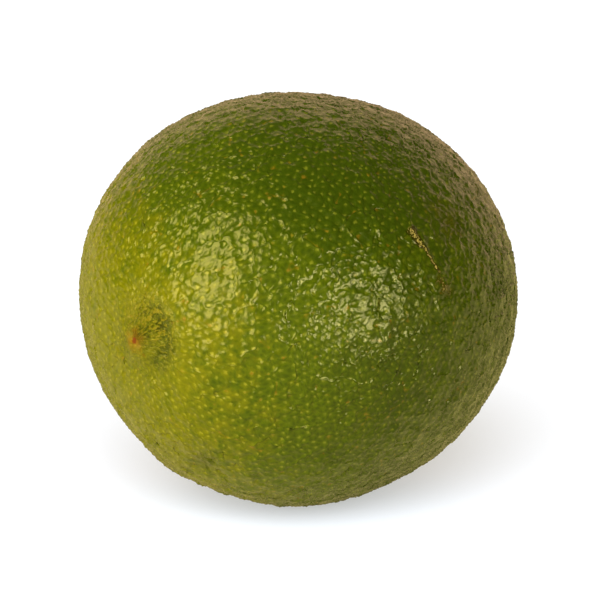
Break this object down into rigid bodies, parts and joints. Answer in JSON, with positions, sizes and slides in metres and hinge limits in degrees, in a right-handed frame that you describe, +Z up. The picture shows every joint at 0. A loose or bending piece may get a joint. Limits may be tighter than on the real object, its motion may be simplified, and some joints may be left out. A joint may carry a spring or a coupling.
{
  "type": "lime",
  "caption": "Whole green lime lying on its side on a small flat spot, with a low nipple and furrow at its stylar end and the dried stem button in a dimple at the other end.",
  "frame": {"origin": "centre of the small flat spot that the fruit rests on", "axes": "+X along the fruit's long axis towards the stem button, +Z up from the surface it rests on"},
  "size_m": [0.0604, 0.0545, 0.0536],
  "materials": {
    "peel": "waxy green peel, pitted with oil glands, yellower round the nipple",
    "stem_button": "dry brown-green calyx with a pale cut stub of stem"
  },
  "bodies": {
    "root": {"fruit": "peel", "stem_button": "stem_button"}
  },
  "joints": []
}
